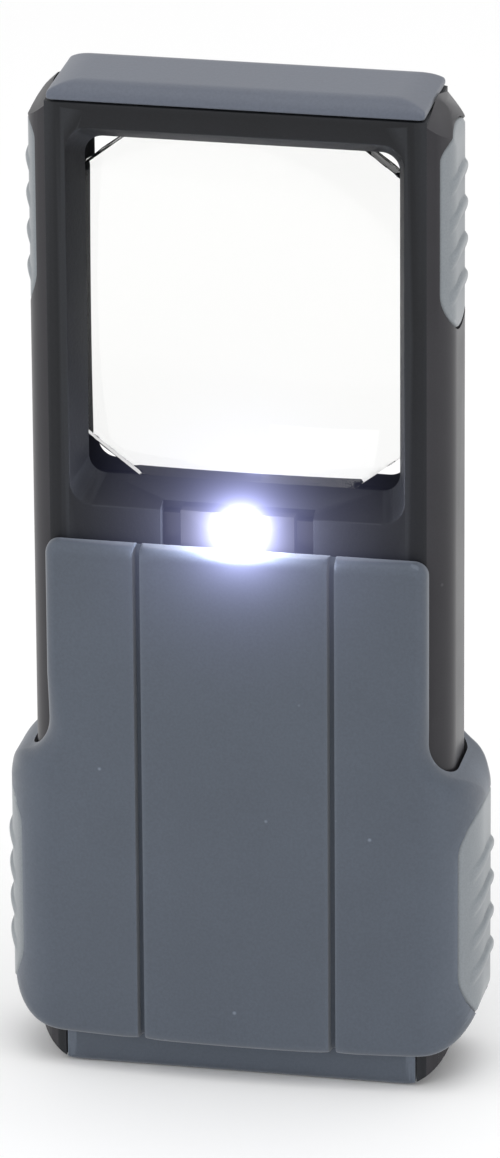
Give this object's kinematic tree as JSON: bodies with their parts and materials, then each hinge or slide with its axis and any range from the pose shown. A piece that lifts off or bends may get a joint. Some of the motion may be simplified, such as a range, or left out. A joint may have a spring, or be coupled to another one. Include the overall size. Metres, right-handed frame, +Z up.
{
  "type": "pocket magnifier",
  "caption": "Slide-open pocket magnifier: a black frame with a square lens and a small light, and a soft blue-grey sleeve that slides up to cover the lens.",
  "frame": {"origin": "middle of the underside, on the surface that the magnifier stands on", "axes": "+Z up along the length, towards the lens end; -Y out of the front face, where the light shows; +X to the right, seen from the front"},
  "size_m": [0.0478, 0.017, 0.1016],
  "materials": {
    "grained_black": "fine-grained black moulded plastic",
    "satin_black": "smooth satin black plastic",
    "sleeve_blue": "soft-touch coated blue-grey plastic",
    "cap_blue": "soft-touch coated blue-grey plastic, a little lighter",
    "grip_grey": "light grey moulded rubber with ribs",
    "lens_clear": "polished clear acrylic",
    "led_clear": "clear epoxy, lit white",
    "board_green": "green solder mask on a glass-fibre board",
    "chip_black": "black moulded component",
    "spring_brass": "thin rolled spring metal",
    "cell_steel": "plated steel can",
    "screw_steel": "zinc-plated steel"
  },
  "bodies": {
    "frame": {"front_housing": "grained_black", "back_housing": "grained_black", "left_rail": "satin_black", "right_rail": "satin_black", "top_cap": "cap_blue", "left_upper_grip": "grip_grey", "right_upper_grip": "grip_grey", "lens": "lens_clear", "led_holder": "satin_black", "led": "led_clear", "circuit_board": "board_green", "resistor": "chip_black", "negative_contact": "spring_brass", "positive_contact": "spring_brass", "switch_leaf": "spring_brass", "housing_screw_1": "screw_steel", "housing_screw_2": "screw_steel", "housing_screw_3": "screw_steel", "housing_screw_4": "screw_steel"},
    "sleeve": {"sleeve_front_shell": "sleeve_blue", "sleeve_back_shell": "sleeve_blue", "sleeve_left_grip": "grip_grey", "sleeve_right_grip": "grip_grey"},
    "battery_drawer": {"bottom_cap": "sleeve_blue", "drawer_tray": "grained_black", "coin_cell_1": "cell_steel", "coin_cell_2": "cell_steel"}
  },
  "joints": [
    {"name": "sleeve_slide", "type": "slide", "parent": "frame", "child": "sleeve", "axis": [0, 0, 1], "range_m": [0, 0.0435]},
    {"name": "drawer_slide", "type": "slide", "parent": "frame", "child": "battery_drawer", "axis": [0, 0, -1], "range_m": [0, 0.022]}
  ]
}
